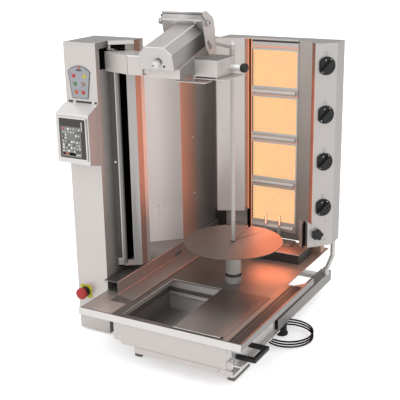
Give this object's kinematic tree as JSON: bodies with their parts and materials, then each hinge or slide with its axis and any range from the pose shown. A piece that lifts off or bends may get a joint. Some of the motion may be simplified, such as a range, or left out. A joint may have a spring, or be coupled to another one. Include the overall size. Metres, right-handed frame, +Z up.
{
  "type": "automatic vertical grill",
  "caption": "Gas vertical grill with a turning spit, a cutting head on a lift tower, a catch table with sliding cover, and a drawer with pan.",
  "frame": {"origin": "middle of the machine on the floor, without the cord", "axes": "+Z up, +Y to the back towards the burners, +X to the right towards the gas knobs"},
  "size_m": [0.767, 0.88, 1.0908],
  "materials": {
    "stainless": "brushed stainless sheet",
    "frame_steel": "satin stainless tube",
    "screw_steel": "bright screw heads",
    "ground_steel": "ground and polished steel",
    "blade_steel": "polished blade steel",
    "aluminium": "machined",
    "rubber": "matt black",
    "key_panel": "printed membrane, grey blue",
    "key_red": "domed key",
    "key_yellow": "domed key",
    "key_green": "domed key",
    "key_grey": "domed key",
    "key_orange": "domed key",
    "screen": "dark touch screen",
    "stop_yellow": "yellow",
    "stop_red": "red mushroom head",
    "motor_black": "black",
    "knob_black": "black phenolic",
    "ceramic_tile": "perforated, glowing warm",
    "brass": "turned",
    "cord_black": "satin black sheath",
    "plug_black": "moulded black"
  },
  "bodies": {
    "machine": {"side_rails": "frame_steel", "cross_rails": "frame_steel", "rubber_feet": "rubber", "chassis": "stainless", "front_panel": "stainless", "table_top": "stainless", "catch_trough": "stainless", "tower_shell": "stainless", "case_screws": "screw_steel", "key_panel": "key_panel", "hmi_housing": "stainless", "hmi_screen": "screen", "stop_collar": "stop_yellow", "guide_rods": "ground_steel", "lift_motor": "motor_black", "spit_column": "stainless", "spit_arm": "stainless", "drive_box": "stainless", "spit_motor": "motor_black", "burner_housing": "stainless", "control_panel": "stainless", "burner_tiles": "ceramic_tile", "burner_frame": "stainless", "gas_manifold": "brass", "support_tube": "ground_steel", "cable_gland": "cord_black", "power_cord": "cord_black", "cord_coil": "cord_black", "power_plug": "plug_black"},
    "lift": {"carriage": "aluminium", "lift_arm": "stainless", "head_housing": "stainless", "head_box": "stainless", "grip_knob": "knob_black", "blade_hood": "stainless"},
    "lift_screw": {"lift_screw": "ground_steel"},
    "blade": {"blade": "blade_steel"},
    "hood_knob_left": {"hood_knob_left": "ground_steel"},
    "hood_knob_right": {"hood_knob_right": "ground_steel"},
    "spit": {"spit_hub": "ground_steel", "spit_disc": "stainless", "spit_rod": "ground_steel"},
    "spit_pin": {"spit_pin": "ground_steel"},
    "drawer": {"drawer": "stainless", "drawer_handle": "knob_black"},
    "pan": {"catch_pan": "stainless"},
    "cover": {"cover_plate": "stainless"},
    "latch": {"latch_lever": "ground_steel"},
    "stop": {"stop_button": "stop_red"},
    "star": {"star_knob": "knob_black"},
    "key_1": {"key_1": "key_red"},
    "key_2": {"key_2": "key_yellow"},
    "key_3": {"key_3": "key_green"},
    "key_4": {"key_4": "key_grey"},
    "key_5": {"key_5": "key_orange"},
    "key_6": {"key_6": "key_red"},
    "gas_knob_1": {"gas_knob_1": "knob_black"},
    "gas_knob_2": {"gas_knob_2": "knob_black"},
    "gas_knob_3": {"gas_knob_3": "knob_black"},
    "gas_knob_4": {"gas_knob_4": "knob_black"}
  },
  "joints": [
    {"name": "arm_lift", "type": "slide", "parent": "machine", "child": "lift", "axis": [0, 0, -1], "range_m": [0, 0.48]},
    {"name": "screw_turn", "type": "hinge", "parent": "machine", "child": "lift_screw", "pos_m": [-0.3, -0.14, 0.5], "axis": [0, 0, 1], "continuous": true},
    {"name": "blade_spin", "type": "hinge", "parent": "lift", "child": "blade", "pos_m": [-0.0125, -0.07854, 1.01818], "axis": [0, 0.9681, 0.2504], "continuous": true},
    {"name": "left_hood_knob_turn", "type": "hinge", "parent": "lift", "child": "hood_knob_left", "pos_m": [-0.099, -0.08856, 1.05691], "axis": [-1, 0, 0], "range_deg": [0, 720]},
    {"name": "right_hood_knob_turn", "type": "hinge", "parent": "lift", "child": "hood_knob_right", "pos_m": [0.049, -0.0701, 1.05342], "axis": [1, 0, 0], "range_deg": [0, 720]},
    {"name": "spit_spin", "type": "hinge", "parent": "machine", "child": "spit", "pos_m": [0.108, -0.01, 0.4], "axis": [0, 0, 1], "continuous": true},
    {"name": "spit_pin_pull", "type": "slide", "parent": "machine", "child": "spit_pin", "axis": [0, 0, 1], "range_m": [0, 0.02]},
    {"name": "drawer_slide", "type": "slide", "parent": "machine", "child": "drawer", "axis": [1, 0, 0], "range_m": [0, 0.26]},
    {"name": "pan_lift", "type": "slide", "parent": "drawer", "child": "pan", "axis": [0, 0, 1], "range_m": [0, 0.022]},
    {"name": "cover_slide", "type": "slide", "parent": "machine", "child": "cover", "axis": [-1, 0, 0], "range_m": [0, 0.165]},
    {"name": "latch_turn", "type": "hinge", "parent": "machine", "child": "latch", "pos_m": [0.312, -0.417, 0.096], "axis": [0, -1, 0], "range_deg": [0, 85]},
    {"name": "stop_press", "type": "slide", "parent": "machine", "child": "stop", "axis": [0, 1, 0], "range_m": [0, 0.005], "stiffness_N_per_m": 400},
    {"name": "star_knob_turn", "type": "hinge", "parent": "machine", "child": "star", "pos_m": [0.29184, 0.28957, 0.275], "axis": [0.7311, -0.6823, 0], "range_deg": [0, 720]},
    {"name": "key_1_press", "type": "slide", "parent": "machine", "child": "key_1", "axis": [0, 1, 0], "range_m": [0, 0.0005], "stiffness_N_per_m": 400},
    {"name": "key_2_press", "type": "slide", "parent": "machine", "child": "key_2", "axis": [0, 1, 0], "range_m": [0, 0.0005], "stiffness_N_per_m": 400},
    {"name": "key_3_press", "type": "slide", "parent": "machine", "child": "key_3", "axis": [0, 1, 0], "range_m": [0, 0.0005], "stiffness_N_per_m": 400},
    {"name": "key_4_press", "type": "slide", "parent": "machine", "child": "key_4", "axis": [0, 1, 0], "range_m": [0, 0.0005], "stiffness_N_per_m": 400},
    {"name": "key_5_press", "type": "slide", "parent": "machine", "child": "key_5", "axis": [0, 1, 0], "range_m": [0, 0.0005], "stiffness_N_per_m": 400},
    {"name": "key_6_press", "type": "slide", "parent": "machine", "child": "key_6", "axis": [0, 1, 0], "range_m": [0, 0.0005], "stiffness_N_per_m": 400},
    {"name": "gas_knob_1_turn", "type": "hinge", "parent": "machine", "child": "gas_knob_1", "pos_m": [0.304, 0.307, 0.882], "axis": [0.7311, -0.6823, 0], "range_deg": [0, 180]},
    {"name": "gas_knob_2_turn", "type": "hinge", "parent": "machine", "child": "gas_knob_2", "pos_m": [0.304, 0.307, 0.713], "axis": [0.7311, -0.6823, 0], "range_deg": [0, 180]},
    {"name": "gas_knob_3_turn", "type": "hinge", "parent": "machine", "child": "gas_knob_3", "pos_m": [0.304, 0.307, 0.544], "axis": [0.7311, -0.6823, 0], "range_deg": [0, 180]},
    {"name": "gas_knob_4_turn", "type": "hinge", "parent": "machine", "child": "gas_knob_4", "pos_m": [0.304, 0.307, 0.375], "axis": [0.7311, -0.6823, 0], "range_deg": [0, 180]}
  ],
  "couplings": [
    {"joint": "screw_turn", "follows": "arm_lift", "rad_per_m": 314.16}
  ]
}
